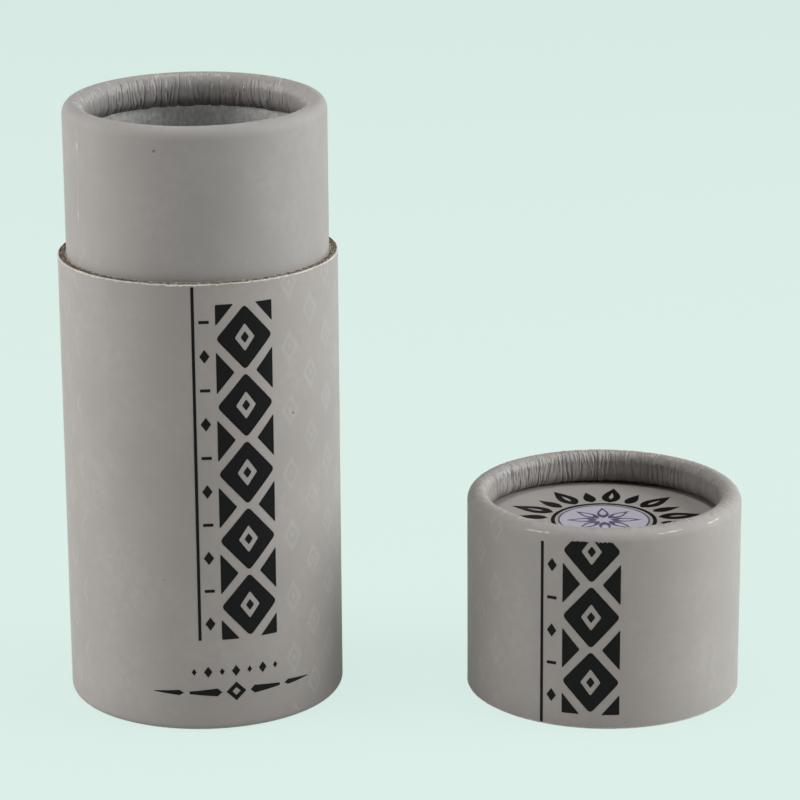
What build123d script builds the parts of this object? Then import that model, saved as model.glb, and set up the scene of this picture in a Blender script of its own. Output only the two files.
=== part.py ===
# Cylindrical gift tube box with rolled paper rims.
# A wound paper tube stands beside the lid that has been pulled off its neck.
# Each tube is a stack of plies: a printed wrap outside, chipboard in the middle and a lining inside.
# Where a tube ends in a rim, its wrap and board are rolled inwards and tucked back against the wall.
import os
from build123d import *

os.makedirs("parts", exist_ok=True)

# Overall sizes, in millimetres
outer_radius = 25.0  # printed tube and lid, over the wrap
body_height = 82.55  # floor to the cut edge that the lid meets
neck_rise = 27.45  # how far the neck stands out of the body
lid_height = 37.2
stand_spacing = 73.15  # axis of the tube to axis of the lid, as they stand

# Plies of the printed tube, which body and lid are both cut from
wrap_thickness = 0.2
board_thickness = 1.1
lining_thickness = 0.1
wrap_trim = 0.15  # the wrap stops this far short of a cut board edge

# Plies of the neck
neck_wrap_thickness = 0.2
neck_board_thickness = 1.1
foil_thickness = 0.1
neck_clearance = 0.15  # radial play of the neck in the printed tube and in the lid

# Rolled rims
rim_depth = 6.2  # crest of a rim to the underside of its tucked end
crest_hollow_radius = 0.55  # hollow left inside the roll of an upper rim
crest_land = 0.05  # flat along the top of an upper rim
foot_hollow_radius = 0.2  # the foot is pressed flatter than the upper rims
foot_land = 0.75
tuck_clearance = 0.05  # tucked end of a rim to the wall beside it

# Discs held behind the rims
disc_thickness = 1.5
facing_thickness = 0.2  # paper on the side of a disc that shows
base_foil_thickness = 0.1
disc_clearance = 0.1  # radial play of a disc in its tube

# Walls that the plies add up to
rolled_wall = wrap_thickness + board_thickness
tube_wall = rolled_wall + lining_thickness
neck_rolled_wall = neck_wrap_thickness + neck_board_thickness
neck_wall = neck_rolled_wall + foil_thickness

# Radii that fit one inside the next
board_inner_radius = outer_radius - rolled_wall
tube_inner_radius = outer_radius - tube_wall
neck_outer_radius = tube_inner_radius - neck_clearance
neck_inner_radius = neck_outer_radius - neck_wall

# Heights that stack up from the floor
base_disc_bottom = rim_depth + facing_thickness
base_disc_top = base_disc_bottom + disc_thickness
neck_top = body_height + neck_rise
lid_disc_top = lid_height - rim_depth - facing_thickness
lid_disc_bottom = lid_disc_top - disc_thickness
neck_foil_top = neck_top - neck_rolled_wall - crest_hollow_radius

# The tube and the lid stand at equal distances from the origin
tube_x = -stand_spacing / 2
lid_x = stand_spacing / 2
tube_floor = Plane((tube_x, 0, 0))
lid_floor = Plane((lid_x, 0, 0))
tube_section = Plane((tube_x, 0, 0), x_dir=(1, 0, 0), z_dir=(0, -1, 0))
lid_section = Plane((lid_x, 0, 0), x_dir=(1, 0, 0), z_dir=(0, -1, 0))
tube_axis = Axis((tube_x, 0, 0), (0, 0, 1))
lid_axis = Axis((lid_x, 0, 0), (0, 0, 1))


def rim_width(wall, hollow_radius, land):
    """Radial width of a rolled rim: the wall goes up, over the hollow and down again."""
    return 2 * (wall + hollow_radius) + land


def ply_face(radius, start, crest, depth, wall, hollow_radius, land, tuck_wall):
    """One face of a rolled ply, at a depth below the outer surface, from plain end to tucked end."""
    up = 1 if crest > start else -1
    corner = wall + hollow_radius
    throat = radius - rim_width(wall, hollow_radius, land)
    tuck = radius - tuck_wall - tuck_clearance - throat
    side = Line((radius - depth, start), (radius - depth, crest - up * corner))
    shoulder = TangentArc(side @ 1, (radius - corner, crest - up * depth), tangent=side % 1)
    flat = Line(shoulder @ 1, (throat + corner, crest - up * depth))
    inner = TangentArc(flat @ 1, (throat + depth, crest - up * corner), tangent=flat % 1)
    leg = Line(inner @ 1, (throat + depth, crest - up * (rim_depth - tuck)))
    end = TangentArc(leg @ 1, (throat + tuck, crest - up * (rim_depth - depth)), tangent=leg % 1)
    return side @ 0, end @ 1


def rolled_ply(radius, start, crest, depth, thickness, wall, hollow_radius, land, tuck_wall):
    """Outline of a ply that runs up a wall, over a rolled rim and back against the wall."""
    rim = (wall, hollow_radius, land, tuck_wall)
    outer_start, outer_end = ply_face(radius, start, crest, depth, *rim)
    inner_start, inner_end = ply_face(radius, start, crest, depth + thickness, *rim)
    Line(outer_start, inner_start)
    Line(outer_end, inner_end)


# Printed body tube, with its foot rolled under and its upper edge cut square
foot_rim = (rolled_wall, foot_hollow_radius, foot_land, rolled_wall)

with BuildPart() as body_core_tube:
    with BuildSketch(tube_section):
        with BuildLine():
            rolled_ply(outer_radius, body_height, 0, wrap_thickness, board_thickness, *foot_rim)
        make_face()
    revolve(axis=tube_axis)

with BuildPart() as body_wrap_paper:
    with BuildSketch(tube_section):
        with BuildLine():
            rolled_ply(outer_radius, body_height - wrap_trim, 0, 0, wrap_thickness, *foot_rim)
        make_face()
    revolve(axis=tube_axis)

with BuildPart() as body_lining_paper:
    with BuildSketch(tube_floor.offset(base_disc_top)):
        Circle(board_inner_radius)
        Circle(tube_inner_radius, mode=Mode.SUBTRACT)
    extrude(amount=body_height - base_disc_top)

# Base disc, trapped between the rolled foot and the neck tube
with BuildPart() as base_outer_paper:
    with BuildSketch(tube_floor.offset(rim_depth)):
        Circle(tube_inner_radius - disc_clearance)
    extrude(amount=facing_thickness)

with BuildPart() as base_disc:
    with BuildSketch(tube_floor.offset(base_disc_bottom)):
        Circle(tube_inner_radius - disc_clearance)
    extrude(amount=disc_thickness)

with BuildPart() as base_foil_disc:
    with BuildSketch(tube_floor.offset(base_disc_top)):
        Circle(neck_inner_radius - disc_clearance)
    extrude(amount=base_foil_thickness)

# Neck tube, standing on the base disc, with its mouth rolled in
neck_rim = (neck_rolled_wall, crest_hollow_radius, crest_land, neck_wall)

with BuildPart() as neck_core_tube:
    with BuildSketch(tube_section):
        with BuildLine():
            rolled_ply(
                neck_outer_radius,
                base_disc_top,
                neck_top,
                neck_wrap_thickness,
                neck_board_thickness,
                *neck_rim,
            )
        make_face()
    revolve(axis=tube_axis)

with BuildPart() as neck_wrap_paper:
    with BuildSketch(tube_section):
        with BuildLine():
            rolled_ply(neck_outer_radius, base_disc_top, neck_top, 0, neck_wrap_thickness, *neck_rim)
        make_face()
    revolve(axis=tube_axis)

with BuildPart() as neck_foil_liner:
    with BuildSketch(tube_floor.offset(base_disc_top)):
        Circle(neck_inner_radius + foil_thickness)
        Circle(neck_inner_radius, mode=Mode.SUBTRACT)
    extrude(amount=neck_foil_top - base_disc_top)

# Lid, with its crown rolled in and its mouth cut square
crown_rim = (rolled_wall, crest_hollow_radius, crest_land, rolled_wall)

with BuildPart() as lid_core_tube:
    with BuildSketch(lid_section):
        with BuildLine():
            rolled_ply(outer_radius, 0, lid_height, wrap_thickness, board_thickness, *crown_rim)
        make_face()
    revolve(axis=lid_axis)

with BuildPart() as lid_wrap_paper:
    with BuildSketch(lid_section):
        with BuildLine():
            rolled_ply(outer_radius, wrap_trim, lid_height, 0, wrap_thickness, *crown_rim)
        make_face()
    revolve(axis=lid_axis)

with BuildPart() as lid_lining_paper:
    with BuildSketch(lid_floor.offset(wrap_trim)):
        Circle(board_inner_radius)
        Circle(tube_inner_radius, mode=Mode.SUBTRACT)
    extrude(amount=lid_disc_bottom - wrap_trim)

# Lid disc, held up against the rolled crown
with BuildPart() as lid_disc:
    with BuildSketch(lid_floor.offset(lid_disc_bottom)):
        Circle(board_inner_radius - disc_clearance)
    extrude(amount=disc_thickness)

with BuildPart() as lid_face_paper:
    with BuildSketch(lid_floor.offset(lid_disc_top)):
        Circle(board_inner_radius - disc_clearance)
    extrude(amount=facing_thickness)

body_core_tube.part.label = "body_core_tube"
body_wrap_paper.part.label = "body_wrap_paper"
body_lining_paper.part.label = "body_lining_paper"
base_outer_paper.part.label = "base_outer_paper"
base_disc.part.label = "base_disc"
base_foil_disc.part.label = "base_foil_disc"
neck_core_tube.part.label = "neck_core_tube"
neck_wrap_paper.part.label = "neck_wrap_paper"
neck_foil_liner.part.label = "neck_foil_liner"
lid_core_tube.part.label = "lid_core_tube"
lid_wrap_paper.part.label = "lid_wrap_paper"
lid_lining_paper.part.label = "lid_lining_paper"
lid_disc.part.label = "lid_disc"
lid_face_paper.part.label = "lid_face_paper"

export_step(body_core_tube.part, "parts/body_core_tube.step")
export_step(body_wrap_paper.part, "parts/body_wrap_paper.step")
export_step(body_lining_paper.part, "parts/body_lining_paper.step")
export_step(base_outer_paper.part, "parts/base_outer_paper.step")
export_step(base_disc.part, "parts/base_disc.step")
export_step(base_foil_disc.part, "parts/base_foil_disc.step")
export_step(neck_core_tube.part, "parts/neck_core_tube.step")
export_step(neck_wrap_paper.part, "parts/neck_wrap_paper.step")
export_step(neck_foil_liner.part, "parts/neck_foil_liner.step")
export_step(lid_core_tube.part, "parts/lid_core_tube.step")
export_step(lid_wrap_paper.part, "parts/lid_wrap_paper.step")
export_step(lid_lining_paper.part, "parts/lid_lining_paper.step")
export_step(lid_disc.part, "parts/lid_disc.step")
export_step(lid_face_paper.part, "parts/lid_face_paper.step")
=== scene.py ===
import math
import random

import bmesh
import bpy
import numpy as np
from mathutils import Matrix, Vector
from mathutils.geometry import tessellate_polygon


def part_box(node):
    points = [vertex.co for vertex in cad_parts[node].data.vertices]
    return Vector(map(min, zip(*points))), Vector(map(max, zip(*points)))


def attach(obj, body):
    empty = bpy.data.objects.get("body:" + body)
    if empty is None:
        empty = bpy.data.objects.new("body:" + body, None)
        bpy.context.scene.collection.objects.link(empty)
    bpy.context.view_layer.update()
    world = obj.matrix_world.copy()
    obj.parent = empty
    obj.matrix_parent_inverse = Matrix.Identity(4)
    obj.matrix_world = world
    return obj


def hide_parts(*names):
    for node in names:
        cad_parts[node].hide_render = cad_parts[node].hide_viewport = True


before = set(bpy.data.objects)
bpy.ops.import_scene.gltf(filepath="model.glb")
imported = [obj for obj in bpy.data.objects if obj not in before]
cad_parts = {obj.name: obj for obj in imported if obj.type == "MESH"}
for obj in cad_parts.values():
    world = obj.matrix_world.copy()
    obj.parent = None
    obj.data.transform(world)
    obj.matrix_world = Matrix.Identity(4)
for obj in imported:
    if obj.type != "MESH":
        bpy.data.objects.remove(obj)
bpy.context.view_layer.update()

MM = 0.001
TURN = 2 * math.pi

# Rolled rims and plies, in millimetres, as the solids have them
RIM_DEPTH = 6.2
WRAP = 0.2
BOARD = 1.1
LINING = 0.1
FOIL = 0.1
CREST_HOLLOW = 0.55
CREST_LAND = 0.05
FOOT_HOLLOW = 0.2
FOOT_LAND = 0.75
TUCK_CLEARANCE = 0.05
ROLLED_WALL = WRAP + BOARD
NECK_WALL = ROLLED_WALL + FOIL
INK_HALF = 0.012  # half the thickness of the printed ink
WALL_INK_LIFT = 0.012  # middle of the ink above the printed wall
DISC_INK_LIFT = 0.008  # middle of the ink above the disc's facing


def node_box(node):
    """Lowest and highest corner of a CAD node, in millimetres."""
    low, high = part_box(node)
    return np.array(low) / MM, np.array(high) / MM


def axis_and_radius(node):
    """X of a round node's axis and its outer radius, in millimetres."""
    low, high = node_box(node)
    return (low[0] + high[0]) / 2, (high[0] - low[0]) / 2


TUBE_X, OUTER_R = axis_and_radius("body_wrap_paper")
LID_X = axis_and_radius("lid_wrap_paper")[0]
NECK_R = axis_and_radius("neck_wrap_paper")[1]
BODY_TOP = node_box("body_core_tube")[1][2]
WRAP_TRIM = BODY_TOP - node_box("body_wrap_paper")[1][2]
NECK_BOTTOM, NECK_TOP = node_box("neck_wrap_paper")[0][2], node_box("neck_wrap_paper")[1][2]
LID_TOP = node_box("lid_wrap_paper")[1][2]
LID_FACE_TOP = node_box("lid_face_paper")[1][2]
FOIL_R = NECK_R - NECK_WALL
LINING_R = OUTER_R - ROLLED_WALL

CREST_WIDTH = 2 * (ROLLED_WALL + CREST_HOLLOW) + CREST_LAND
FOOT_CORNER = ROLLED_WALL + FOOT_HOLLOW
FOOT_WIDTH = 2 * FOOT_CORNER + FOOT_LAND

# Each rim: its width, the wall behind its tucked end, and the width and height of its rounded corners
NECK_RIM = dict(width=CREST_WIDTH, tuck_wall=NECK_WALL, outer=(1.88, 2.15), inner=(1.85, 2.6))
CROWN_RIM = dict(width=CREST_WIDTH, tuck_wall=ROLLED_WALL, outer=(2.1, 2.15), inner=(1.6, 1.85))
FOOT_RIM = dict(width=FOOT_WIDTH, tuck_wall=ROLLED_WALL, outer=(FOOT_CORNER, FOOT_CORNER),
                inner=(FOOT_CORNER, FOOT_CORNER))

# The neck's rim was rolled slightly out of level: it is lower at the front
NECK_LEAN = math.tan(math.radians(1.2))
LEAN_FROM, LEAN_TO = 90, 106  # heights between which the lean sets in
LEAN_MARGIN = 1  # added to the crest's height, for the painted shade at the tucked end of the leaning rim


# Soft steps, and noise that is periodic around the tube

def ease(t):
    return t * t * (3 - 2 * t)


def smooth(low, high, value):
    """0 below low, 1 above high, with a soft step between."""
    return ease(np.clip((value - low) / (high - low), 0, 1))


def ring_noise(theta, cells, seed):
    """Noise from -1 to 1 with that many random values around the ring."""
    values = np.random.default_rng(seed).uniform(-1, 1, cells)
    place = (theta / TURN % 1) * cells
    index = np.floor(place).astype(int)
    part = ease(place - index)
    return values[index % cells] * (1 - part) + values[(index + 1) % cells] * part


def sheet_noise(theta, along, cells, pitch, seed):
    """Noise from -1 to 1 over a wall: cells around the ring, and a row of them each pitch along it."""
    row = np.floor(along / pitch).astype(int)
    lowest = int(row.min())
    table = np.random.default_rng(seed).uniform(-1, 1, (int(row.max()) - lowest + 2, cells))
    place = (theta / TURN % 1) * cells
    column = np.floor(place).astype(int)
    side = ease(place - column)
    low, high = (
        table[up, column % cells] * (1 - side) + table[up, (column + 1) % cells] * side
        for up in (row - lowest, row - lowest + 1)
    )
    part = ease(along / pitch - row)
    return low * (1 - part) + high * part


def ring_angles(columns):
    return np.arange(columns) * TURN / columns


def angle_between(theta, centre):
    """Signed angle from centre to theta, from -pi to pi."""
    return (theta - centre + math.pi) % TURN - math.pi


# Profiles: rows of radius, height, and the radial and the upward part of the outward normal

CORNER_ARC = 1.6  # length of a rounded corner, about, for each millimetre of its height


def rim_rows(radius, start, crest, width, tuck_wall, outer, inner, wall_rows, pitch, depth=0.0):
    """One face of a ply that runs up a wall, over a rolled rim and back against the wall.

    The face lies at a depth below the outer surface. The second result is each row's distance along the ply
    from where the rim begins.
    """
    up = 1 if crest > start else -1
    throat = radius - width
    tuck = radius - tuck_wall - TUCK_CLEARANCE - throat
    rows = []

    def line(r0, z0, r1, z1, normal, count):
        for i in range(count):
            t = i / count
            rows.append((r0 + t * (r1 - r0), z0 + t * (z1 - z0), *normal))

    def bend(r0, z0, size_r, size_z, first, count):
        for i in range(count):
            a = first + math.pi / 2 * i / count
            far = math.hypot(size_z * math.cos(a), size_r * math.sin(a))
            normal = (size_z * math.cos(a) / far, up * size_r * math.sin(a) / far)
            rows.append((r0 + size_r * math.cos(a), z0 + up * size_z * math.sin(a), *normal))

    def steps(length):
        return max(2, round(length / pitch))

    low = crest - up * (RIM_DEPTH - tuck)
    line(radius, start, radius, crest - up * outer[1], (1, 0), wall_rows)
    bend(radius - outer[0], crest - up * outer[1], *outer, 0, steps(outer[1] * CORNER_ARC))
    line(radius - outer[0], crest, throat + inner[0], crest, (0, up), 2)
    bend(throat + inner[0], crest - up * inner[1], *inner, math.pi / 2, steps(inner[1] * CORNER_ARC))
    line(throat, crest - up * inner[1], throat, low, (-1, 0), steps(abs(crest - up * inner[1] - low)))
    bend(throat + tuck, low, tuck, tuck, math.pi, steps(tuck * CORNER_ARC))
    rows.append((throat + tuck, crest - up * RIM_DEPTH, 0, -up))
    rows = np.array(rows)
    length = np.concatenate([[0], np.cumsum(np.hypot(np.diff(rows[:, 0]), np.diff(rows[:, 1])))])
    rolled = length - length[wall_rows]
    rows[:, 0] -= depth * rows[:, 2]
    rows[:, 1] -= depth * rows[:, 3]
    return rows, rolled


def lean_rim(theta, radii, heights):
    """Rise of the neck's rim towards the back, in millimetres."""
    return -NECK_LEAN * radii * np.cos(theta) * smooth(LEAN_FROM, LEAN_TO, heights)


def ring_piece(name, node, centre_x, radii, heights, body, materials, face_slots=None, sharp=40):
    """A closed mesh of rows of rings, in place of a CAD node. radii and heights are (rows, columns)."""
    rows, columns = radii.shape
    theta = ring_angles(columns)
    points = np.stack([centre_x + radii * np.sin(theta), -radii * np.cos(theta), heights], axis=2) * MM
    a, b = np.meshgrid(np.arange(rows), np.arange(columns), indexing="ij")
    next_row, next_column = (a + 1) % rows, (b + 1) % columns
    near, far = a * columns, next_row * columns
    quads = np.stack([near + b, near + next_column, far + next_column, far + b], axis=2).reshape(-1, 4)
    corner = points.reshape(-1, 3)[quads]
    cross = np.cross(corner[:, 1] - corner[:, 0], corner[:, 3] - corner[:, 0])
    if (cross * corner.mean(axis=1)).sum() < 0:
        quads = quads[:, ::-1]
    mesh = bpy.data.meshes.new(name)
    mesh.vertices.add(rows * columns)
    mesh.vertices.foreach_set("co", points.astype(np.float32).ravel())
    mesh.loops.add(quads.size)
    mesh.loops.foreach_set("vertex_index", quads.astype(np.int32).ravel())
    mesh.polygons.add(len(quads))
    mesh.polygons.foreach_set("loop_start", np.arange(0, quads.size, 4, dtype=np.int32))
    if face_slots is not None:
        mesh.polygons.foreach_set("material_index", face_slots.astype(np.int32).ravel())
    mesh.update(calc_edges=True)
    mesh.validate()
    mesh.shade_smooth()
    mesh.set_sharp_from_angle(angle=math.radians(sharp))
    piece = place_piece(name, mesh, body, materials)
    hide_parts(node)


def add_object(name, data):
    thing = bpy.data.objects.new(name, data)
    bpy.context.scene.collection.objects.link(thing)
    return thing


def place_piece(name, mesh, body, materials):
    """Links a mesh as a piece that rides on a body and takes its finish from a slot."""
    piece = add_object(name, mesh)
    for material in materials:
        mesh.materials.append(material)
    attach(piece, body)
    return piece


# Materials

def linear(red, green, blue):
    """Linear colour of an 8-bit display colour."""
    parts = [v / 255 for v in (red, green, blue)]
    return tuple(v / 12.92 if v <= 0.04045 else ((v + 0.055) / 1.055) ** 2.4 for v in parts) + (1.0,)


def set_inputs(tree, node, inputs):
    """Links or sets sockets, each called by its number or by its name with underscores for spaces."""
    for key, value in inputs.items():
        socket = node.inputs[key if isinstance(key, int) else key.replace("_", " ")]
        if isinstance(value, bpy.types.NodeSocket):
            tree.links.new(value, socket)
        else:
            socket.default_value = value


def new_node(tree, kind, inputs, **settings):
    node = tree.nodes.new("ShaderNode" + kind)
    for key, value in settings.items():
        setattr(node, key, value)
    set_inputs(tree, node, inputs)
    return node


class Graph:
    """A material's node tree, built up to its Principled shader."""

    def __init__(self, name, **shader):
        self.material = bpy.data.materials.new(name)
        self.material.use_nodes = True
        self.tree = self.material.node_tree
        self.shader = self.tree.nodes["Principled BSDF"]
        set_inputs(self.tree, self.shader, shader)

    def node(self, kind, **inputs):
        return new_node(self.tree, kind, inputs)

    def add(self, kind, output=0, **inputs):
        return self.node(kind, **inputs).outputs[output]

    def place(self):
        """Where a point lies in the object's own frame, in metres."""
        return self.add("TexCoord", output=3)

    def math(self, operation, first, second=0.0):
        return new_node(self.tree, "Math", {0: first, 1: second}, operation=operation).outputs[0]

    def vector_math(self, operation, *vectors, output=0):
        inputs = dict(enumerate(vectors))
        return new_node(self.tree, "VectorMath", inputs, operation=operation).outputs[output]

    def mix(self, factor, first, second):
        return new_node(self.tree, "Mix", {0: factor, 6: first, 7: second}, data_type="RGBA").outputs[2]

    def noise(self, scale, detail, roughness, stretch=(1, 1, 1), turn=(0, 0, 0)):
        """Noise over the piece, with that many cells in a metre."""
        place = self.add("Mapping", Vector=self.place(), Scale=stretch, Rotation=turn)
        return self.add("TexNoise", Vector=place, Scale=scale, Detail=detail, Roughness=roughness)

    def range(self, value, low, high, out_low=0.0, out_high=1.0):
        limits = {1: low, 2: high, 3: out_low, 4: out_high}
        return new_node(self.tree, "MapRange", {0: value, **limits}).outputs[0]

    def bump(self, height, strength, distance, below=None):
        lower = {} if below is None else {"Normal": below}
        return self.add("Bump", Height=height, Strength=strength, Distance=distance, **lower)

    def finish(self, **shader):
        set_inputs(self.tree, self.shader, shader)
        return self.material


def shade(tone, share):
    return tuple(v * share for v in tone[:3]) + (1.0,)


SPECK_CELLS = 260.0  # cells in a metre of paper: a few hold a dark speck
NO_SPECK_SHARE = 0.93
SPECK_SIZE = 0.13  # in widths of a cell
PAINTED_SHEEN_SHARE = 0.1  # of the varnish's pale tone in the paper's: a painted sheen of the varnish
RIM_GLOSS = 0.33
TUCK_SHADE = 1.5  # painted shade: how dark the tucked end is painted, for each unit of gloss


def paper(name, tone, roughness, varnish=None, rim=None):
    """Coloured art paper: soft mottling, fine tooth, a few dark specks and, if asked, a spot varnish painted
    paler as a painted sheen.

    A rim is the x of a tube's axis, its wall's radius and its crest's height. Inside it the rolling tool has
    burnished the paper, and painted shade darkens it towards the tucked end, where the curl shades it.
    """
    graph = Graph(name, Coat_Roughness=0.15, Specular_IOR_Level=0.04)
    cloud = graph.noise(90, 3, 0.5)
    mottle = graph.noise(620, 4, 0.6)
    tooth = graph.noise(5200, 3, 0.6)
    dark = shade(tone, 0.94)
    colour = graph.mix(graph.range(cloud, 0.32, 0.68), dark, shade(tone, 1.06))
    colour = graph.mix(graph.range(tooth, 0.35, 0.75, 0.0, 0.4), colour, shade(tone, 0.9))
    colour = graph.mix(graph.range(mottle, 0.38, 0.62, 0.0, 0.65), colour, dark)
    cell = graph.node("TexVoronoi", Vector=graph.place(), Scale=SPECK_CELLS, Randomness=1.0)
    chosen = graph.add("SeparateColor", Color=cell.outputs["Color"])
    rare = graph.math("GREATER_THAN", chosen, NO_SPECK_SHARE)
    ragged = graph.math("MULTIPLY", graph.noise(6000, 2, 0.5), SPECK_SIZE)
    near = graph.math("LESS_THAN", cell.outputs["Distance"], ragged)
    speck = graph.math("MULTIPLY", graph.math("MULTIPLY", rare, near), 0.6)
    colour = graph.mix(speck, colour, linear(70, 66, 62))
    rough = graph.range(cloud, 0.3, 0.7, roughness - 0.03, roughness + 0.04)
    if varnish:
        # painted sheen: the varnish's lozenges are painted paler, standing in for the light they catch
        painted_sheen = graph.math("MULTIPLY", varnish(graph), PAINTED_SHEEN_SHARE)
        colour = graph.mix(painted_sheen, colour, linear(214, 212, 208))
    burnished = 0.0
    if rim:
        centre_x, radius, crest = rim
        place = graph.place()
        centred = graph.vector_math("SUBTRACT", place, (centre_x * MM, 0, 0))
        flat = graph.vector_math("MULTIPLY", centred, (1, 1, 0))
        far = graph.vector_math("LENGTH", flat, output=1)
        burnished = graph.range(far, (radius - 2.2) * MM, (radius - 1.0) * MM, RIM_GLOSS, 0.0)
        height = graph.add("SeparateXYZ", output=2, Vector=place)
        # painted shade: the paper is darker towards the tucked end, where the curl shades it
        tucked = graph.range(height, (crest - 6.0) * MM, (crest - 3.0) * MM, TUCK_SHADE, 0.0)
        colour = graph.mix(graph.math("MULTIPLY", tucked, burnished), colour, linear(60, 56, 52))
    normal = graph.bump(tooth, 0.12, 0.00003)
    return graph.finish(Base_Color=colour, Roughness=rough, Normal=normal, Coat_Weight=burnished)


VARNISH_COLUMNS = 30  # columns of varnished lozenges round the tube
VARNISH_PITCH = 11.6  # from one lozenge to the next in its column
LOZENGE_HALF_WIDTH = 0.38  # in widths of a column
LOZENGE_HALF_HEIGHT = 0.27  # in pitches
LOZENGE_HOLE_SHARE = 0.58
LOZENGE_HEART_SHARE = 0.26


def lozenge_varnish(centre_x, clear_from, clear_to):
    """Mask of a spot varnish's painted sheen: staggered columns of tall lozenge rings, and none between two
    angles at the front, where no sheen is painted.
    """

    def mask(graph):
        split = graph.node("SeparateXYZ", Vector=graph.place())
        sideways = graph.math("SUBTRACT", split.outputs[0], centre_x * MM)
        forward = graph.math("MULTIPLY", split.outputs[1], -1.0)
        angle = graph.math("ARCTAN2", sideways, forward)
        across = graph.math("MULTIPLY", angle, VARNISH_COLUMNS / TURN)
        column = graph.math("FLOOR", across)
        shift = graph.math("MULTIPLY", graph.math("MODULO", column, 2.0), 0.5)
        upward = graph.math("ADD", graph.math("DIVIDE", split.outputs[2], VARNISH_PITCH * MM), shift)
        u = graph.math("ABSOLUTE", graph.math("SUBTRACT", graph.math("FRACT", across), 0.5))
        v = graph.math("ABSOLUTE", graph.math("SUBTRACT", graph.math("FRACT", upward), 0.5))
        part_u = graph.math("DIVIDE", u, LOZENGE_HALF_WIDTH)
        part_v = graph.math("DIVIDE", v, LOZENGE_HALF_HEIGHT)
        far = graph.math("ADD", part_u, part_v)
        inside = graph.math("LESS_THAN", far, 1.0)
        past_hole = graph.math("GREATER_THAN", far, LOZENGE_HOLE_SHARE)
        heart = graph.math("LESS_THAN", far, LOZENGE_HEART_SHARE)
        lozenge = graph.math("MAXIMUM", graph.math("MULTIPLY", inside, past_hole), heart)
        left = graph.math("LESS_THAN", angle, clear_from)
        right = graph.math("GREATER_THAN", angle, clear_to)
        side = graph.math("MAXIMUM", left, right)
        worn = graph.range(graph.noise(300, 2, 0.5), 0.3, 0.55, 0.35, 1.0)
        return graph.math("MULTIPLY", graph.math("MULTIPLY", lozenge, side), worn)

    return mask


def ink_material(name, tone, roughness=0.34):
    graph = Graph(name, Specular_IOR_Level=0.12)
    tooth = graph.noise(4200, 3, 0.6)
    lighter = tuple(min(1.0, v * 1.35 + 0.001) for v in tone[:3]) + (1.0,)
    colour = graph.mix(graph.range(tooth, 0.45, 0.75, 0.0, 0.5), tone, lighter)
    return graph.finish(Base_Color=colour, Roughness=roughness, Normal=graph.bump(tooth, 0.1, 0.00002))


def chipboard(name):
    graph = Graph(name, Roughness=0.92, Specular_IOR_Level=0.25)
    fibre = graph.noise(3800, 6, 0.7)
    cloud = graph.noise(900, 4, 0.6)
    colour = graph.mix(graph.range(fibre, 0.3, 0.7), linear(88, 76, 65), linear(148, 133, 116))
    colour = graph.mix(graph.range(cloud, 0.4, 0.7, 0.0, 0.5), colour, linear(94, 82, 69))
    pale = graph.range(graph.noise(2600, 2, 0.5), 0.56, 0.62, 0.0, 0.85)
    colour = graph.mix(pale, colour, linear(214, 204, 188))
    dark = graph.range(graph.noise(2900, 2, 0.5, turn=(1, 1, 0)), 0.57, 0.63, 0.0, 0.85)
    colour = graph.mix(dark, colour, linear(48, 40, 33))
    return graph.finish(Base_Color=colour, Normal=graph.bump(fibre, 0.7, 0.00008))


def white_core(name, dark, light):
    """Bare white core of the wrap where its grey face is cut or torn away."""
    graph = Graph(name, Roughness=0.8, Specular_IOR_Level=0.3)
    fibre = graph.noise(5200, 5, 0.7)
    colour = graph.mix(graph.range(fibre, 0.35, 0.7), dark, light)
    return graph.finish(Base_Color=colour, Normal=graph.bump(fibre, 0.5, 0.00005))


def lining_paper(name):
    graph = Graph(name, Roughness=0.7, Specular_IOR_Level=0.35)
    cloud = graph.noise(260, 5, 0.6)
    fibre = graph.noise(3600, 4, 0.65, stretch=(1, 1, 0.3))
    colour = graph.mix(graph.range(cloud, 0.35, 0.65), linear(206, 203, 196), linear(222, 220, 214))
    colour = graph.mix(graph.range(fibre, 0.4, 0.75, 0.0, 0.35), colour, linear(184, 180, 170))
    return graph.finish(Base_Color=colour, Normal=graph.bump(fibre, 0.25, 0.00005))


def foil(name):
    """Foil laminated to paper: silver, finely crinkled, with slanting rub marks."""
    graph = Graph(name, Metallic=1.0)
    crinkle = graph.noise(1500, 5, 0.65, stretch=(1, 1, 0.7))
    rubbed = graph.noise(2600, 3, 0.6, stretch=(1, 1, 0.16), turn=(0, 0.7, 0))
    grain = graph.noise(6500, 2, 0.5)
    colour = graph.mix(graph.range(crinkle, 0.3, 0.7), linear(204, 202, 201), linear(246, 244, 242))
    rough = graph.range(rubbed, 0.3, 0.7, 0.38, 0.6)
    fine = graph.bump(grain, 0.2, 0.00003)
    fine = graph.bump(rubbed, 0.35, 0.00006, fine)
    return graph.finish(Base_Color=colour, Roughness=rough, Normal=graph.bump(crinkle, 0.45, 0.00012, fine))


GREY = linear(167, 162, 157.5)
NECK_GREY = linear(165, 161, 157.5)
INK_BLACK = linear(17, 14, 15)

varnish_sheen_body = lozenge_varnish(TUBE_X, clear_from=-0.95, clear_to=0.62)
varnish_sheen_lid = lozenge_varnish(LID_X, clear_from=-0.84, clear_to=1.15)
body_paper = paper("printed_wrap_body", GREY, 0.44, varnish=varnish_sheen_body)
lid_paper = paper("printed_wrap_lid", GREY, 0.4, varnish=varnish_sheen_lid, rim=(LID_X, OUTER_R, LID_TOP))
neck_paper = paper("neck_wrap", NECK_GREY, 0.47, rim=(TUBE_X, NECK_R, NECK_TOP + LEAN_MARGIN))
face_paper = paper("disc_facing", GREY, 0.44)
board = chipboard("chipboard")
core_white = white_core("wrap_core", linear(176, 170, 160), linear(236, 234, 230))
seam_edge = white_core("seam_edge", linear(162, 158, 153), linear(184, 180, 175))
lining = lining_paper("lining")
silver = foil("foil")
black = ink_material("ink_black", INK_BLACK)
violet = ink_material("ink_violet", linear(92, 85, 112), 0.4)
lilac = ink_material("ink_lilac", linear(182, 179, 190), 0.36)


# Creases of a rolled rim

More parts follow.
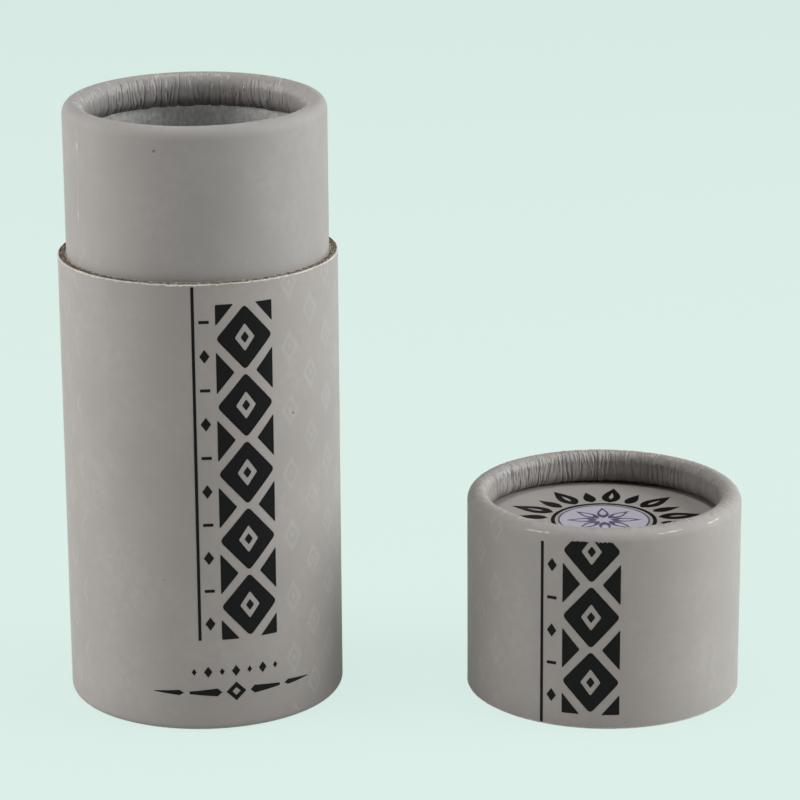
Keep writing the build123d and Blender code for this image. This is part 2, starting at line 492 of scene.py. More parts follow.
WALL_ROWS = 72  # rows of a wrap's mesh up its straight wall
DRIFT_WAVES = ((5, 0.35), (11, 0.6), (23, 0.9), (41, 1.3))  # waves round the rim, and how far each may lean
DRIFT_SIZE = 0.30
PILLOW_POWER = 2.6  # how flat the top of a pillow is
FULL_PILLOW = 2.4  # a narrower pillow swells less
GROOVE_WIDTH = 0.12
CRACK_GLINT_SHARE = 0.65  # half the width of a crack, in half widths of its crease; its white core also stands in for a glint, a painted highlight


def rim_creases(theta, rolled, radius, seed, folds, pillow, groove, onset, deepen, marks):
    """Outward displacement of a rolled rim, and its white cracks, partly painted highlight: pillows between
    folds, and finer marks.

    Folds deepen by a share where the ply turns under at its tucked end. A group of marks has a count, ranges
    of widths, of starts past the onset, of lengths and of heights, the share of its marks that are raised,
    and the share of those with a white crack along the top, whose white also stands in for a glint: painted
    highlight.
    """
    generator = np.random.default_rng(seed)
    drift = np.zeros_like(theta)
    for waves, steepness in DRIFT_WAVES:
        turn = generator.uniform(0, TURN)
        lean = generator.uniform(-1, 1) * steepness
        drift += DRIFT_SIZE / radius * np.sin(waves * theta + lean * rolled + turn) / (1 + waves / 20)
    warped = theta + drift * smooth(2.0, 8.0, rolled)
    gaps = generator.uniform(0.3, 1.7, folds)
    edges = np.concatenate([[0], np.cumsum(gaps)]) * TURN / gaps.sum()
    place = warped % TURN
    index = np.clip(np.searchsorted(edges, place, side="right") - 1, 0, folds - 1)
    width = edges[index + 1] - edges[index]
    part = (place - edges[index]) / width
    strength = generator.uniform(0.4, 1.0, folds + 1) ** 1.3
    strength[-1] = strength[0]
    amount = strength[index] * (1 - part) + strength[index + 1] * part
    swell = (1 - np.abs(2 * part - 1) ** PILLOW_POWER) * np.minimum(1, width * radius / FULL_PILLOW)
    edge_far = np.minimum(part, 1 - part) * width * radius
    start = generator.uniform(-0.6, 2.4, folds + 1)
    start[-1] = start[0]
    begin = onset + np.where(part < 0.5, start[index], start[index + 1])
    fade = smooth(0, 2.6, rolled - begin)
    shape = amount * fade * (pillow * swell - groove * np.exp(-((edge_far / GROOVE_WIDTH) ** 2)))
    shape *= 1 + deepen * smooth(7.0, 10.0, rolled)
    columns = theta.shape[1]
    cracked_glint = np.zeros(theta.shape, dtype=bool)
    for count, widths, starts, lengths, heights, raised, crack_glints in marks:
        for _ in range(count):
            centre = generator.uniform(0, TURN)
            size = generator.uniform(*widths) / radius
            first = onset + generator.uniform(*starts)
            length = generator.uniform(*lengths)
            rise = generator.uniform(*heights) * (1 if generator.random() < raised else -1)
            lean = generator.uniform(-0.3, 0.3) / radius
            reach = int(math.ceil(4 * size / TURN * columns)) + 8
            middle = int(centre / TURN * columns)
            span = np.arange(middle - reach, middle + reach + 1) % columns
            s = rolled[:, span]
            away = angle_between(warped[:, span], centre + lean * (s - first) / 3)
            soft = min(0.7, length / 2.5)
            along = smooth(first, first + soft, s) * (1 - smooth(first + length - soft, first + length, s))
            shape[:, span] += rise * along * np.exp(-((away / size) ** 2))
            if rise > 0 and generator.random() < crack_glints:
                # painted highlight: the top of a raised mark is set white, a crack that also stands in for
                # its glint
                cracked_glint[:, span] |= (along > 0.35) & (np.abs(away) < CRACK_GLINT_SHARE * size)
    return shape, cracked_glint


SEAM_LEAN = 0.03  # a seam's drift round the tube for each millimetre up it
SEAM_STEP = 0.04  # how far the lapped end of a wrap stands out
SEAM_TAPER = 6.0  # length over which that rise dies out round the tube


def lap_seam(theta, centre, radius):
    """Raised edge of a wrap where its end laps over its start: the free edge faces towards larger angles."""
    past = -angle_between(theta, centre) * radius
    return SEAM_STEP * smooth(-0.06, 0.06, past) * np.exp(-np.clip(past, 0, None) / SEAM_TAPER)


CREASE_WIDTH = 0.16
CREASE_CRACK_GLINT = 0.13  # half the width of the white crack along a shoulder crease, partly a painted highlight


def shoulder_creases(theta, along, creases):
    """Short crisp creases round the shoulder of a rim: their rise, and where their tops show white cracks,
    partly painted highlight for their glints.

    Each has its middle and half its length, both in degrees, its place along the ply and its rise.
    """
    push = np.zeros_like(theta)
    cracked_glint = np.zeros(theta.shape, dtype=bool)
    for middle, half, at, rise in creases:
        reach = math.radians(half)
        turn = angle_between(theta, math.radians(middle))
        inside = 1 - smooth(0.8, 1.0, np.abs(turn) / reach)
        bow = at + 0.1 * np.sin(9 * turn)
        push += rise * inside * np.exp(-(((along - bow) / CREASE_WIDTH) ** 2))
        taper = CREASE_CRACK_GLINT * inside * (0.75 + 0.5 * ring_noise(theta, 260, int(1000 * reach)))
        # painted highlight: the crease's top is set white, a crack that also stands in for its glint
        cracked_glint |= np.abs(along - bow) < taper
    return push, cracked_glint


CORE_SLOT, SEAM_SLOT = 1, 2  # finishes of a wrap besides its paper: bare core and edge of the seam
BARE_ROWS = 3  # rows of a cut edge where the core is bare
CHIPPED_SHARE = 0.03  # of a seam's edge, where it shows the bare core
WALL_WAVE = 0.018  # height of the slight waves in a wrapped wall


def wrap_piece(name, node, centre_x, radius, start, crest, rim, columns, body, material, creases, seam,
               cut_edge=None, pitch=0.12, lean=None, ridges=(), shoulder=(), seam_white=0.0):
    """A wrap over a wall and a rolled rim, as one closed sheet of paper with real creases.

    A ridge up the wall has an angle, a height and a spread. seam_white is half the width of the seam's edge.
    """
    face, rolled = rim_rows(radius, start, crest, pitch=pitch, wall_rows=WALL_ROWS, **rim)
    back, _ = rim_rows(radius, start, crest, depth=WRAP, pitch=pitch * 4, wall_rows=6, **rim)
    theta = np.tile(ring_angles(columns), (len(face), 1))
    along = np.tile(rolled[:, None], (1, columns))
    push, crack_glints = rim_creases(theta, along, radius - rim["width"], **creases)
    seam_at = seam + SEAM_LEAN * (face[:, 1:2] - abs(crest)) / radius
    push += lap_seam(theta, seam_at, radius) * (1 - smooth(0.5, 3.0, along))
    for place, rise, spread in ridges:
        away = np.abs(angle_between(theta, place)) * radius
        push += rise * np.exp(-np.hypot(away, 0.6) / spread) * (1 - smooth(-1.0, 1.5, along))
    crease, cracked_glint = shoulder_creases(theta, along, shoulder)
    push += crease
    push += WALL_WAVE * sheet_noise(theta, face[:, 1:2] + 0 * theta, 14, 9.0, creases["seed"] + 1)
    radii = face[:, 0:1] + face[:, 2:3] * push
    heights = face[:, 1:2] + face[:, 3:4] * push
    back_r = np.tile(back[::-1, 0:1], (1, columns))
    back_z = np.tile(back[::-1, 1:2], (1, columns))
    if cut_edge:
        edge_r, edge_z = cut_edge(theta[0], radius, start)
        radii = np.concatenate([edge_r + push[0][None, :], radii[1:]])
        heights = np.concatenate([edge_z, heights[1:]])
        back_z[-1] = edge_z[0]
    face_slots = np.zeros((len(radii) + len(back), columns), dtype=np.int32)
    if cut_edge:
        face_slots[:BARE_ROWS] = CORE_SLOT
        face_slots[-1] = CORE_SLOT
    # crease tops get the white core: cracks that are partly painted highlight for glints
    face_slots[-len(face) - len(back):-len(back)][cracked_glint | crack_glints] = CORE_SLOT
    if seam_white:
        near = np.abs(angle_between(theta, seam_at)) * radius < seam_white
        chance = np.random.default_rng(creases["seed"]).uniform(0, 1, (len(face), 1))
        face_slots[:WALL_ROWS][near[:WALL_ROWS]] = SEAM_SLOT
        face_slots[:WALL_ROWS][(near & (chance < CHIPPED_SHARE))[:WALL_ROWS]] = CORE_SLOT
    radii = np.concatenate([radii, back_r])
    heights = np.concatenate([heights, back_z])
    if lean:
        heights = heights + lean(theta[0][None, :], radii, heights)
    heights = np.maximum(heights, 0)
    finishes = [material, core_white, seam_edge]
    ring_piece(name, node, centre_x, radii, heights, body, finishes, face_slots)


# Down a cut edge: shares of the bare depth, and how far out the wrap stands there
TORN_SHARES = ((0.0, -0.12), (0.3, -0.035), (0.65, 0.012), (1.0, 0.012), (1.5, 0.0))


def torn_edge(seed, up, ragged, white):
    """Rows of a wrap's cut edge, from its tip down to the unbroken grey face."""

    def rows(theta, radius, tip):
        tear = ragged * (0.65 * ring_noise(theta, 700, seed) + 0.35 * ring_noise(theta, 90, seed + 1))
        patch = np.clip(ring_noise(theta, 60, seed + 3), 0, 1)
        depth = white * np.clip(0.85 + 0.6 * ring_noise(theta, 620, seed + 2) + 0.6 * patch, 0.25, 1.8)
        curl = 0.04 * np.clip(ring_noise(theta, 240, seed + 4), 0, 1)
        top = tip + up * (0.08 + tear)
        edge_r = np.stack([radius + out + curl * (1 - share / 1.5) for share, out in TORN_SHARES])
        edge_z = np.stack([top - up * depth * share for share, _ in TORN_SHARES])
        return edge_r, edge_z

    return rows


NECK_CREASES = dict(
    seed=11, folds=84, pillow=0.12, groove=0.08, onset=2.6, deepen=1.1,
    marks=(
        (420, (0.07, 0.18), (-0.4, 4.5), (1.2, 5.0), (0.01, 0.045), 0.3, 0.0),
        (300, (0.055, 0.09), (0.2, 3.6), (0.5, 1.9), (0.03, 0.08), 1.0, 0.5),
        (220, (0.09, 0.22), (2.8, 6.6), (1.0, 3.0), (0.05, 0.13), 0.0, 0.0),
        (260, (0.06, 0.1), (-1.3, 0.4), (0.6, 1.8), (0.008, 0.02), 0.5, 0.0),
    ),
)
LID_CREASES = dict(
    seed=23, folds=132, pillow=0.1, groove=0.09, onset=2.0, deepen=0.9,
    marks=(
        (1150, (0.06, 0.16), (-0.7, 4.5), (1.2, 5.5), (0.012, 0.055), 0.35, 0.0),
        (560, (0.055, 0.09), (0.0, 3.8), (0.6, 2.4), (0.03, 0.075), 1.0, 0.12),
        (440, (0.06, 0.14), (1.2, 6.2), (1.2, 3.4), (0.04, 0.1), 0.0, 0.0),
        (520, (0.06, 0.1), (-1.4, 0.6), (0.8, 2.2), (0.01, 0.025), 0.5, 0.0),
    ),
)
FOOT_CREASES = dict(
    seed=37, folds=90, pillow=0.08, groove=0.08, onset=2.6, deepen=0.0,
    marks=((140, (0.1, 0.2), (-0.4, 3.0), (1.2, 4.0), (0.01, 0.05), 0.3, 0.0),),
)
LID_SHOULDER_CREASES = (
    (-32, 6, 1.0, 0.05),
    (24.7, 6, 1.2, 0.05),
    (48.4, 4, 1.15, 0.05),
    (150, 9, 0.8, 0.04),
    (-118, 7, 1.0, 0.04),
)
NECK_RIDGE = (math.radians(-42.5), 0.05, 1.6)
BODY_RIDGE = (math.radians(-36.7), 0.13, 2.3)
NECK_SEAM, LID_SEAM, BODY_SEAM = math.radians(-57.2), math.radians(158), math.radians(171)

body_edge = torn_edge(101, 1, 0.08, 0.18)
lid_edge = torn_edge(131, -1, 0.05, 0.14)
wrap_piece("neck_wrap", "neck_wrap_paper", TUBE_X, NECK_R, NECK_BOTTOM, NECK_TOP, NECK_RIM, 2160, "tube",
           neck_paper, NECK_CREASES, NECK_SEAM, lean=lean_rim, seam_white=0.1,
           ridges=(NECK_RIDGE,))
wrap_piece("lid_wrap", "lid_wrap_paper", LID_X, OUTER_R, WRAP_TRIM, LID_TOP, CROWN_RIM, 2160, "lid",
           lid_paper, LID_CREASES, LID_SEAM, cut_edge=lid_edge,
           shoulder=LID_SHOULDER_CREASES)
wrap_piece("body_wrap", "body_wrap_paper", TUBE_X, OUTER_R, BODY_TOP - WRAP_TRIM, 0, FOOT_RIM, 1440, "tube",
           body_paper, FOOT_CREASES, BODY_SEAM, cut_edge=body_edge, pitch=0.2,
           ridges=(BODY_RIDGE,))


# Board, lining, foil and disc facing

BOARD_COLUMNS = 1440
END_STEPS = 12  # from the inner to the outer edge of a board's end


def board_piece(name, node, centre_x, radius, start, crest, rim, body, rough_end, lean=None):
    """Chipboard tube with its rolled rim and, at its cut end, a rough fibrous edge."""
    face, _ = rim_rows(radius, start, crest, depth=WRAP, pitch=0.5, wall_rows=4, **rim)
    back, _ = rim_rows(radius, start, crest, depth=ROLLED_WALL, pitch=0.5, wall_rows=4, **rim)
    theta = ring_angles(BOARD_COLUMNS)
    up = 1 if crest > start else -1
    faces = np.concatenate([face, back[::-1]])
    radii = [np.full(BOARD_COLUMNS, r) for r in faces[:, 0]]
    heights = [np.full(BOARD_COLUMNS, z) for z in faces[:, 1]]
    for i in range(1, END_STEPS):
        fine, coarse = ring_noise(theta, 700, 200 + i), ring_noise(theta, 160, 230 + i // 3)
        drop = rough_end * (0.5 + 0.3 * fine + 0.2 * coarse)
        at_edge = i in (1, END_STEPS - 1)
        radii.append(np.full(BOARD_COLUMNS, radius - ROLLED_WALL + BOARD * (i / END_STEPS)))
        heights.append(start + up * np.clip(drop, 0, None) * (1.6 if at_edge else 1))
    radii, heights = np.array(radii), np.array(heights)
    if lean:
        heights = heights + lean(theta[None, :], radii, heights)
    ring_piece(name, node, centre_x, radii, heights, body, [board], sharp=60)


board_piece("neck_board", "neck_core_tube", TUBE_X, NECK_R, NECK_BOTTOM, NECK_TOP, NECK_RIM, "tube", 0.0,
            lean_rim)
board_piece("body_board", "body_core_tube", TUBE_X, OUTER_R, BODY_TOP, 0, FOOT_RIM, "tube", 0.2)
board_piece("lid_board", "lid_core_tube", LID_X, OUTER_R, 0, LID_TOP, CROWN_RIM, "lid", 0.08)


SLEEVE_COLUMNS = 1080


def sleeve_piece(name, node, centre_x, inner, thickness, body, material, ripple, rows=8):
    """A thin straight lining, whose inner side is moved by ripple(theta, height)."""
    low, high = node_box(node)
    theta = ring_angles(SLEEVE_COLUMNS)
    z = np.linspace(low[2], high[2], rows)
    grid_z = np.tile(z[:, None], (1, SLEEVE_COLUMNS))
    push = ripple(np.tile(theta, (rows, 1)), grid_z)
    radii = np.concatenate([inner + push, np.full((2, SLEEVE_COLUMNS), inner + thickness)])
    heights = np.concatenate([grid_z, np.tile([[z[-1]], [z[0]]], (1, SLEEVE_COLUMNS))])
    ring_piece(name, node, centre_x, radii, heights, body, [material])


def foil_ripple(theta, z):
    coarse = sheet_noise(theta, z, 130, 1.6, 301)
    fine = sheet_noise(theta, z, 420, 0.6, 302)
    dents = sheet_noise(theta, z, 260, 0.9, 304)
    return 0.018 * np.clip(coarse, -1, 0.4) + 0.01 * np.clip(dents, -0.2, 1) + 0.008 * fine - 0.012


def flat_ripple(theta, z):
    return 0.006 * sheet_noise(theta, z, 60, 5.0, 303)


sleeve_piece("neck_foil", "neck_foil_liner", TUBE_X, FOIL_R, FOIL, "tube", silver, foil_ripple,
             rows=240)
sleeve_piece("body_lining", "body_lining_paper", TUBE_X, LINING_R - LINING, LINING, "tube", lining,
             flat_ripple)
sleeve_piece("lid_lining", "lid_lining_paper", LID_X, LINING_R - LINING, LINING, "lid", lining,
             flat_ripple, rows=24)


DISC_COLUMNS = 360
DISC_ROWS = 40
HUB_SHARE = 0.002  # of a disc's radius, for its innermost ring


def disc_piece(name, node, body, material, wave):
    """A round sheet with a faint swell on its upper face."""
    low, high = node_box(node)
    centre_x, radius = axis_and_radius(node)
    theta = ring_angles(DISC_COLUMNS)
    top = high[2] - wave * 0.6
    radii, heights = [], []
    for share in np.linspace(HUB_SHARE, 1, DISC_ROWS):
        radii.append(np.full(DISC_COLUMNS, radius * share))
        swell = wave * share * (1 - share) * (ring_noise(theta, 9, 401) + 0.4 * ring_noise(theta, 23, 402))
        heights.append(top + swell)
    for share in (1, HUB_SHARE):
        radii.append(np.full(DISC_COLUMNS, radius * share))
        heights.append(np.full(DISC_COLUMNS, low[2]))
    ring_piece(name, node, centre_x, np.array(radii), np.array(heights), body, [material])


disc_piece("lid_face", "lid_face_paper", "lid", face_paper, 0.05)
disc_piece("base_foil", "base_foil_disc", "tube", silver, 0.02)

for kept, material in (("base_disc", board), ("base_outer_paper", lining), ("lid_disc", lining)):
    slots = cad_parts[kept].data.materials
    slots.clear()
    slots.append(material)


# Print: thin ink cut from flat outlines and laid on the paper

def lozenge(u, v, width, height):
    return [(u, v - height / 2), (u + width / 2, v), (u, v + height / 2), (u - width / 2, v)]


def rounded(points, radius, steps=4):
    """The outline with each corner replaced by a short curve."""
    result = []
    for i, corner in enumerate(points):
        before, after = Vector(points[i - 1]), Vector(points[(i + 1) % len(points)])
        here = Vector(corner)
        a = here + (before - here).normalized() * radius
        b = here + (after - here).normalized() * radius
        for k in range(steps + 1):
            t = k / steps
            result.append(tuple(a * (1 - t) ** 2 + here * 2 * t * (1 - t) + b * t ** 2))
    return result


def flat_shape(outlines, cut_every=None, ceiling=None, seed=0):
    """Flat triangles of outlines with holes, cut into strips that can bend, and torn off at a ceiling."""
    flat = bmesh.new()
    for outer, holes in outlines:
        loops = [outer, *holes]
        corners = [flat.verts.new((u, v, 0)) for loop in loops for u, v in loop]
        for triangle in tessellate_polygon([[Vector((u, v, 0)) for u, v in loop] for loop in loops]):
            flat.faces.new([corners[i] for i in triangle])

    def cut(place, normal, clear=False):
        everything = flat.verts[:] + flat.edges[:] + flat.faces[:]
        bmesh.ops.bisect_plane(flat, geom=everything, plane_co=place, plane_no=normal, clear_outer=clear)

    if ceiling is not None:
        cut((0, ceiling, 0), (0, 1, 0), clear=True)
    if cut_every:
        low = min(v.co.x for v in flat.verts)
        high = max(v.co.x for v in flat.verts)
        for u in np.arange(low + cut_every, high, cut_every):
            cut((u, 0, 0), (1, 0, 0))
    if ceiling is not None:
        draw = random.Random(seed)
        for vertex in flat.verts:
            if abs(vertex.co.y - ceiling) < 1e-5:
                vertex.co.y -= draw.uniform(0, 0.2) + (0.25 if draw.random() < 0.12 else 0)
    for face in flat.faces:
        face.normal_update()
        if face.normal.z < 0:
            face.normal_flip()
    return flat


def ink(name, flat, place, body, material):
    """Turns a flat shape into a thin solid that place(u, v, height) lays on a surface."""
    flat.verts.index_update()
    count = len(flat.verts)
    low = [place(v.co.x, v.co.y, -INK_HALF) for v in flat.verts]
    high = [place(v.co.x, v.co.y, INK_HALF) for v in flat.verts]
    faces = []
    for face in flat.faces:
        corners = [v.index for v in face.verts]
        faces.append([i + count for i in corners])
        faces.append(corners[::-1])
        for loop in face.loops:
            if len(loop.edge.link_faces) == 1:
                a, b = loop.vert.index, loop.link_loop_next.vert.index
                faces.append([a, b, b + count, a + count])
    flat.free()
    mesh = bpy.data.meshes.new(name)
    mesh.from_pydata([tuple(c * MM for c in p) for p in low + high], [], faces)
    mesh.validate()
    mesh.shade_smooth()
    mesh.set_sharp_from_angle(angle=math.radians(35))
    place_piece(name, mesh, body, [material])


def on_wall(centre_x, radius):
    """Places flat points round a wall: u runs along its curve from the front, v is the height."""

    def place(u, v, height):
        angle = u / radius
        r = radius + height + WALL_INK_LIFT
        return centre_x + r * math.sin(angle), -r * math.cos(angle), v

    return place


def on_disc(centre_x, top):
    """Places flat points on a disc, from its middle."""

    def place(u, v, height):
        return centre_x + u, v, top + height + DISC_INK_LIFT

    return place


BAND_WIDTH = 10.4
BAND_PITCH = 12.3
BAND_TO_LINE = -9.1  # middle of the band to the thin line on its left
BAND_TO_MARKS = -7.2
STROKE = 2.5
STROKE_ACROSS, STROKE_ALONG = 1.35, 1.45  # a slanting stroke's width across and along the band, in strokes
LOZENGE_GAP = 0.5
HEART_SHARE = 0.42  # of a lozenge's hole
NOTCH_SHARE = 0.31  # of the band's width and pitch
LINE_WIDTH = 0.55


def band_outlines(middle, low, count):
    """A chain of bold lozenges with solid hearts, and triangles that fill the notches between them."""
    shapes = []
    inner_w = BAND_WIDTH - 2 * STROKE * STROKE_ACROSS
    inner_h = BAND_PITCH - 2 * STROKE * STROKE_ALONG
    for i in range(count):
        v = low + BAND_PITCH * (i + 0.5)
        ring = rounded(lozenge(middle, v, BAND_WIDTH, BAND_PITCH - LOZENGE_GAP), 0.8)
        hole = rounded(lozenge(middle, v, inner_w, inner_h), 0.3)
        shapes.append((ring, [hole]))
        shapes.append((rounded(lozenge(middle, v, inner_w * HEART_SHARE, inner_h * HEART_SHARE), 0.2), []))
    for i in range(count + 1):
        v = low + BAND_PITCH * i
        for side in (-1, 1):
            edge = middle + side * BAND_WIDTH / 2
            tip = edge - side * BAND_WIDTH * NOTCH_SHARE
            up = BAND_PITCH * NOTCH_SHARE if i < count else 0
            down = BAND_PITCH * NOTCH_SHARE if i > 0 else 0
            shapes.append((rounded([(edge, v + up), (tip, v), (edge, v - down)], 0.25), []))
    return shapes


def line_outline(u, low, high):
    half = LINE_WIDTH / 2
    steps = 24
    left = [(u - half, low + (high - low) * i / steps) for i in range(steps + 1)]
    right = [(u + half, v) for _, v in reversed(left)]
    return [(left + right, [])]


MARK_WIDTH = 1.8
MARK_PITCH = 6.15
MARK_LOZENGE_HEIGHT = 2.5
MARK_BAR_HEIGHT = 0.56


def marks_outlines(u, low, count):
    """Small lozenges and short bars by turns, beside the thin line."""
    shapes = []
    half_w, half_h = MARK_WIDTH / 2, MARK_BAR_HEIGHT / 2
    for i in range(count):
        v = low + MARK_PITCH * i
        if i % 2:
            bar = [(u + a * half_w, v + b * half_h) for a, b in ((-1, -1), (1, -1), (1, 1), (-1, 1))]
            shapes.append((rounded(bar, 0.15), []))
        else:
            shapes.append((lozenge(u, v, MARK_WIDTH, MARK_LOZENGE_HEIGHT), []))
    return shapes


DIVIDER_BARS = ((2.6, 8.4, 1.5, 0.5), (9.4, 15.0, 1.0, 0.12))  # start, end, and height near start and at end
DIVIDER_POINT = 0.8  # length of a bar's pointed start
DIVIDER_ROW_PITCH = 2.5
DIVIDER_ROW_RISE = 3.9


def divider_outlines(u, v):
    """A printer's divider: a lozenge between tapering bars, under a row of small lozenges."""
    shapes = [(lozenge(u, v, 3.6, 3.6), [lozenge(u, v, 1.5, 1.5)])]
    for side in (-1, 1):
        for near, far, thick, thin in DIVIDER_BARS:
            full, end = u + side * (near + DIVIDER_POINT), u + side * far
            bar = [(u + side * near, v), (full, v + thick / 2), (end, v + thin / 2), (end, v - thin / 2),
                   (full, v - thick / 2)]
            shapes.append((bar, []))
    for i in range(-3, 4):
        width, height = (0.9, 1.3) if i % 2 else (1.5, 2.1)
        shapes.append((lozenge(u + i * DIVIDER_ROW_PITCH, v + DIVIDER_ROW_RISE, width, height), []))
    return shapes


BODY_BAND_U = 9.4
BODY_BAND_LOW = 17.3
BODY_MARKS_LOW = BODY_BAND_LOW + 3.1
DIVIDER_U, DIVIDER_V = 6.6, 7.4
LID_BAND_U = -3.6
LID_BAND_LOW = 2.7
LID_MARKS_LOW = 5.8
LID_LINE_LOW = 0.35
LID_SHOULDER = LID_TOP - ROLLED_WALL - CREST_HOLLOW

on_body = on_wall(TUBE_X, OUTER_R)
on_lid = on_wall(LID_X, OUTER_R)


def wrap_print(name, outlines, place, body, cut_every=None, **torn):
    """Black print on the wrap of a body."""
    ink(name, flat_shape(outlines, cut_every, **torn), place, body, black)


wrap_print("body_print_band", band_outlines(BODY_BAND_U, BODY_BAND_LOW, 5), on_body, "tube", 0.5)
line = line_outline(BODY_BAND_U + BAND_TO_LINE, BODY_BAND_LOW, BODY_TOP - 0.5)
wrap_print("body_print_line", line, on_body, "tube")
marks = marks_outlines(BODY_BAND_U + BAND_TO_MARKS, BODY_MARKS_LOW, 10)
wrap_print("body_print_marks", marks, on_body, "tube", 0.5)
wrap_print("body_print_divider", divider_outlines(DIVIDER_U, DIVIDER_V), on_body, "tube", 0.5)

band = band_outlines(LID_BAND_U, LID_BAND_LOW, 3)
wrap_print("lid_print_band", band, on_lid, "lid", 0.22, ceiling=LID_SHOULDER, seed=5)
line = line_outline(LID_BAND_U + BAND_TO_LINE, LID_LINE_LOW, LID_SHOULDER - 0.8)
wrap_print("lid_print_line", line, on_lid, "lid")
marks = marks_outlines(LID_BAND_U + BAND_TO_MARKS, LID_MARKS_LOW, 5)
wrap_print("lid_print_marks", marks, on_lid, "lid", 0.5)


def petal(angle, inner, outer, half_width, steps=9):
    """A pointed leaf from the inner to the outer radius."""
    left, right = [], []
    for i in range(steps + 1):
        t = i / steps
        r = inner + (outer - inner) * t
        w = half_width * math.sin(math.pi * min(1, t ** 0.75)) * (1 - 0.25 * t)
        left.append((r, w))
        right.append((r, -w))
    points = left + right[-2:0:-1]
    ca, sa = math.cos(angle), math.sin(angle)
    return [(r * ca - w * sa, r * sa + w * ca) for r, w in points]


def circle_outline(radius, steps=96):
    return [(radius * math.cos(TURN * i / steps), radius * math.sin(TURN * i / steps)) for i in range(steps)]


ROSETTE_LEAVES = 20
FLOWER_LEAVES = 8
TINT_R, TINT_LINE_R = 8.4, 8.1  # the lilac ground in the middle of the lid, and its line's inner edge


def rosette_outlines():
    """Black rosette: long and short leaves by turns round a plain ring."""
    shapes = [(circle_outline(9.7), [circle_outline(9.0)])]
    for i in range(ROSETTE_LEAVES):
        angle = TURN * (i + 0.5) / ROSETTE_LEAVES
        if i % 2 == 0:
            shapes.append((petal(angle, 10.2, 18.6, 1.9), [petal(angle, 12.2, 15.9, 0.45)]))
        else:
            shapes.append((petal(angle, 10.4, 16.2, 1.25), []))
    return shapes


def flower_outlines():
    angles = [TURN * i / FLOWER_LEAVES for i in range(FLOWER_LEAVES)]
    return [(petal(angle, 1.2, 6.9, 1.2), [petal(angle, 2.6, 5.9, 0.7)]) for angle in angles]


on_face = on_disc(LID_X, LID_FACE_TOP)
ink("lid_print_rosette", flat_shape(rosette_outlines()), on_face, "lid", black)
ink("lid_print_centre", flat_shape([(circle_outline(TINT_R), [])]), on_face, "lid", lilac)
on_tint = on_disc(LID_X, LID_FACE_TOP + 2 * INK_HALF)
rim_line = [(circle_outline(TINT_R), [circle_outline(TINT_LINE_R)])]
ink("lid_print_flower", flat_shape(flower_outlines() + rim_line), on_tint, "lid", violet)


# Camera, lights and floor

CAMERA_AT = (0.107, -599.66, 233.64)  # millimetres
CAMERA_PITCH = math.radians(16.664)
CAMERA_YAW = math.radians(-0.069)
CAMERA_ROLL = math.radians(-0.355)
FOCAL_PIXELS = 3456.2
PICTURE_WIDTH = 800
SENSOR = 36.0
LAMPS_AIM_AT = (0, 0, 0.05)
FLOOR_GLOW = 1.015
FLOOR_SHADE_SHARE = 0.08  # of the floor's real shading in what the viewer sees of it
FLOOR_BOUNCE = (0.72, 0.72, 0.71, 1)  # colour of the floor to the rays that carry light
WORLD_FADE = {1: 0.12, 2: 0.4, 3: 1.0, 4: 0.0}  # the backdrop fades from 1 to 0 between two heights


def add_camera():
    data = bpy.data.cameras.new("camera")
    data.sensor_width = SENSOR
    data.lens = SENSOR * FOCAL_PIXELS / PICTURE_WIDTH
    data.clip_start = 0.01
    data.clip_end = 20
    camera = add_object("camera", data)
    level = math.cos(CAMERA_PITCH)
    forward = Vector((math.sin(CAMERA_YAW) * level, math.cos(CAMERA_YAW) * level, -math.sin(CAMERA_PITCH)))
    right = forward.cross(Vector((0, 0, 1))).normalized()
    up = right.cross(forward)
    right = right * math.cos(CAMERA_ROLL) + up * math.sin(CAMERA_ROLL)
    up = right.cross(forward)
    turn = Matrix((right, up, -forward)).transposed()
    camera.matrix_world = Matrix.Translation(Vector(CAMERA_AT) * MM) @ turn.to_4x4()
    bpy.context.scene.camera = camera


def add_softbox(name, at, width, height, power, colour):
    data = bpy.data.lights.new(name, "AREA")
    data.shape = "RECTANGLE"
    data.size = width
    data.size_y = height
    data.energy = power
    data.color = colour
    lamp = add_object(name, data)
    lamp.location = at
    lamp.rotation_euler = (Vector(LAMPS_AIM_AT) - Vector(at)).to_track_quat("-Z", "Y").to_euler()


BACKDROP = linear(218, 237, 231)


def shown_to_viewer(tree):
    """1 for camera, glossy and transmission rays, 0 for the rays that carry light."""
    rays = new_node(tree, "LightPath", {})
    result = rays.outputs["Is Camera Ray"]
    for kind in ("Is Glossy Ray", "Is Transmission Ray"):
        result = new_node(tree, "Math", {0: result, 1: rays.outputs[kind]}, operation="MAXIMUM").outputs[0]
    return result


def mix_shaders(tree, share, first, second):
    return new_node(tree, "MixShader", {0: share, 1: first, 2: second}).outputs[0]


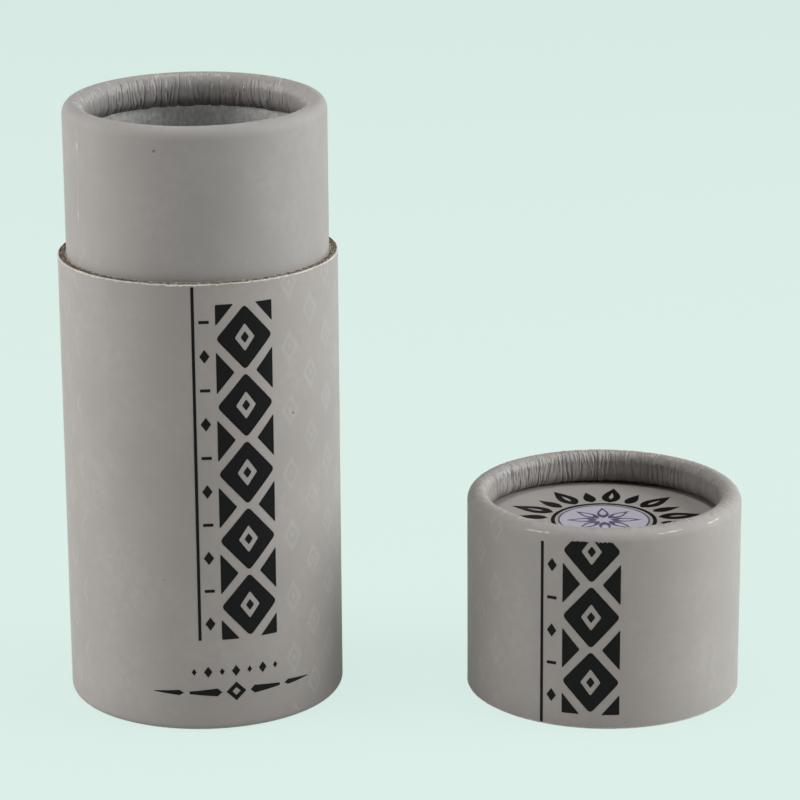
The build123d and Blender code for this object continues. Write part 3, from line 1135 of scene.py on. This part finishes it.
def add_floor():
    """Pale floor: its colour shows to camera and mirror rays, and its shadow shows through faintly."""
    bpy.ops.mesh.primitive_grid_add(x_subdivisions=4, y_subdivisions=4, size=8)
    floor = bpy.context.object
    floor.name = "floor"
    floor.location.z = -0.00005
    material = bpy.data.materials.new("floor")
    material.use_nodes = True
    tree = material.node_tree
    tree.nodes.clear()
    glow = new_node(tree, "Emission", {"Color": BACKDROP, "Strength": FLOOR_GLOW}).outputs[0]
    tinted = new_node(tree, "BsdfDiffuse", {"Color": BACKDROP}).outputs[0]
    plain = new_node(tree, "BsdfDiffuse", {"Color": FLOOR_BOUNCE}).outputs[0]
    seen = mix_shaders(tree, FLOOR_SHADE_SHARE, glow, tinted)
    new_node(tree, "OutputMaterial", {0: mix_shaders(tree, shown_to_viewer(tree), plain, seen)})
    floor.data.materials.append(material)


def add_world(level):
    """Faint even light. Camera and mirror rays see the backdrop's colour instead, under a dark ceiling."""
    world = bpy.data.worlds.new("studio")
    bpy.context.scene.world = world
    world.use_nodes = True
    tree = world.node_tree
    lit = tree.nodes["Background"]
    set_inputs(tree, lit, {"Color": (1, 1, 1, 1), "Strength": level})
    place = new_node(tree, "TexCoord", {})
    split = new_node(tree, "SeparateXYZ", {0: place.outputs["Generated"]})
    fade = new_node(tree, "MapRange", {0: split.outputs["Z"], **WORLD_FADE}).outputs[0]
    shown = new_node(tree, "Background", {"Color": BACKDROP, "Strength": fade}).outputs[0]
    mixed = mix_shaders(tree, shown_to_viewer(tree), lit.outputs[0], shown)
    set_inputs(tree, tree.nodes["World Output"], {0: mixed})


add_camera()
add_softbox("softbox_left", (-0.82, -0.115, 0.33), 0.7, 0.6, 7.05, (0.99, 0.99, 0.985))
add_softbox("softbox_right", (0.824, -0.072, 0.4), 0.7, 0.82, 10.3, (0.954, 0.986, 1.0))
add_softbox("softbox_top", (0, 0.03, 0.91), 0.3, 0.3, 2.9, (1.0, 0.98, 0.965))
add_floor()
add_world(0.01)
bpy.context.scene.view_settings.view_transform = "Standard"
